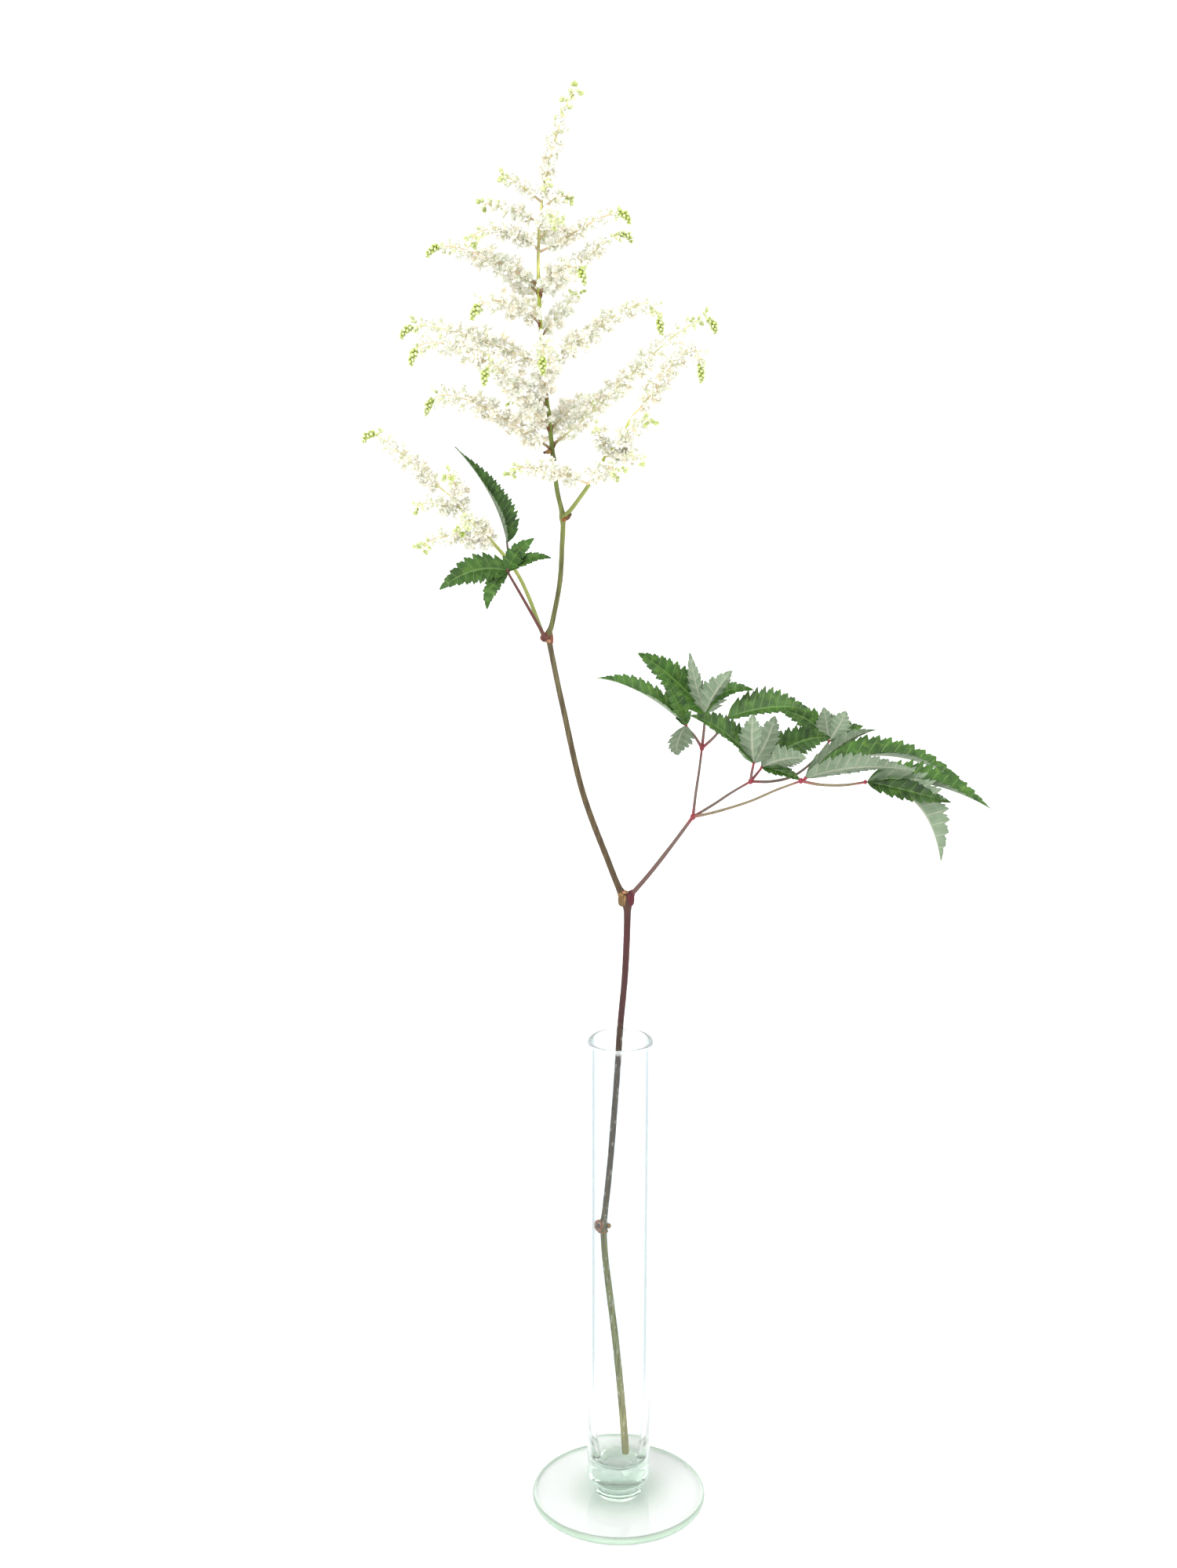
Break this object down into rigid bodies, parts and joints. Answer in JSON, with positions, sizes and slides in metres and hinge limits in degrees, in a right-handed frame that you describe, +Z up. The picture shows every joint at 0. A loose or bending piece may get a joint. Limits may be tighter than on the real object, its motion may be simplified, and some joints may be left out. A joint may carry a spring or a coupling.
{
  "type": "astilbe in vase",
  "caption": "Cut astilbe stem with a white plume and toothed compound leaves, standing in a clear glass tube vase on a round foot.",
  "frame": {"origin": "middle of the vase foot's underside", "axes": "+Z up along the vase, -Y towards the front, +X to the side of the big leaf"},
  "size_m": [0.3205, 0.118, 0.7813],
  "materials": {
    "glass": "clear, faint green where thick",
    "stem": "smooth, maroon brown below to green above",
    "branch": "smooth green",
    "leaf_stalk": "smooth maroon",
    "leaflet": "satin green, pale below",
    "floret": "matt cream white",
    "green_bud": "matt yellow green"
  },
  "bodies": {
    "root": {"big_leaf_leaflets_1": "leaflet", "big_leaf_leaflets_2": "leaflet", "big_leaf_leaflets_3": "leaflet", "big_leaf_leaflets_4": "leaflet", "big_leaf_leaflets_5": "leaflet", "big_leaf_leaflets_6": "leaflet", "big_leaf_leaflets_7": "leaflet", "big_leaf_leaflets_8": "leaflet", "big_leaf_stalk": "leaf_stalk", "end_spray": "floret", "glass_vase": "glass", "left_branch_spray_1": "floret", "left_branch_spray_1_green_buds": "green_bud", "left_branch_spray_2": "floret", "left_branch_spray_3": "floret", "left_flower_branch": "branch", "main_stem": "stem", "right_branch_spray_1": "floret", "right_branch_spray_1_green_buds": "green_bud", "right_branch_spray_2": "floret", "right_branch_spray_3": "floret", "right_flower_branch": "branch", "small_leaf_leaflets": "leaflet", "small_leaf_stalk": "leaf_stalk", "spray_01": "floret", "spray_02": "floret", "spray_03": "floret", "spray_04": "floret", "spray_05": "floret", "spray_06": "floret", "spray_07": "floret", "spray_08": "floret", "spray_09": "floret", "spray_09_green_buds": "green_bud", "spray_10": "floret", "spray_10_green_buds": "green_bud", "spray_11": "floret", "spray_11_green_buds": "green_bud", "spray_12": "floret", "spray_12_green_buds": "green_bud", "spray_13": "floret", "spray_14": "floret", "spray_14_green_buds": "green_bud", "spray_15": "floret", "spray_16": "floret", "spray_16_green_buds": "green_bud", "spray_17": "floret", "spray_17_green_buds": "green_bud", "spray_18": "floret", "spray_18_green_buds": "green_bud", "spray_19": "floret", "spray_19_green_buds": "green_bud", "spray_20": "floret", "spray_21": "floret", "spray_21_green_buds": "green_bud", "spray_22": "floret", "spray_22_green_buds": "green_bud", "spray_23": "floret", "spray_24": "floret", "spray_24_green_buds": "green_bud"}
  },
  "joints": []
}
